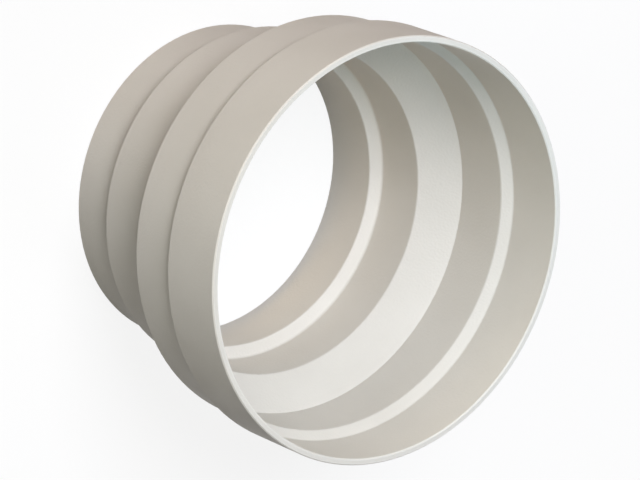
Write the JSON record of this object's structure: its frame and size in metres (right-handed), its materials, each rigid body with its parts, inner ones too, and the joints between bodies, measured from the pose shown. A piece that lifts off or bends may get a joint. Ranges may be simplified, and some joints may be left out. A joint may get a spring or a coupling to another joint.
{
  "type": "duct reducer",
  "caption": "Round stepped plastic reducer that joins a wide ventilation duct to a narrower one, with spigots and sockets in line around an open airway.",
  "frame": {"origin": "centre of the small end, on the duct axis, in the plane that the fitting stands on", "axes": "+Z along the duct axis, from the small end up to the large mouth; X and Y are alike, because the fitting is round"},
  "size_m": [0.1296, 0.1294, 0.0896],
  "materials": {
    "body": "satin moulded plastic, pale warm grey"
  },
  "bodies": {
    "root": {"reducer": "body"}
  },
  "joints": []
}
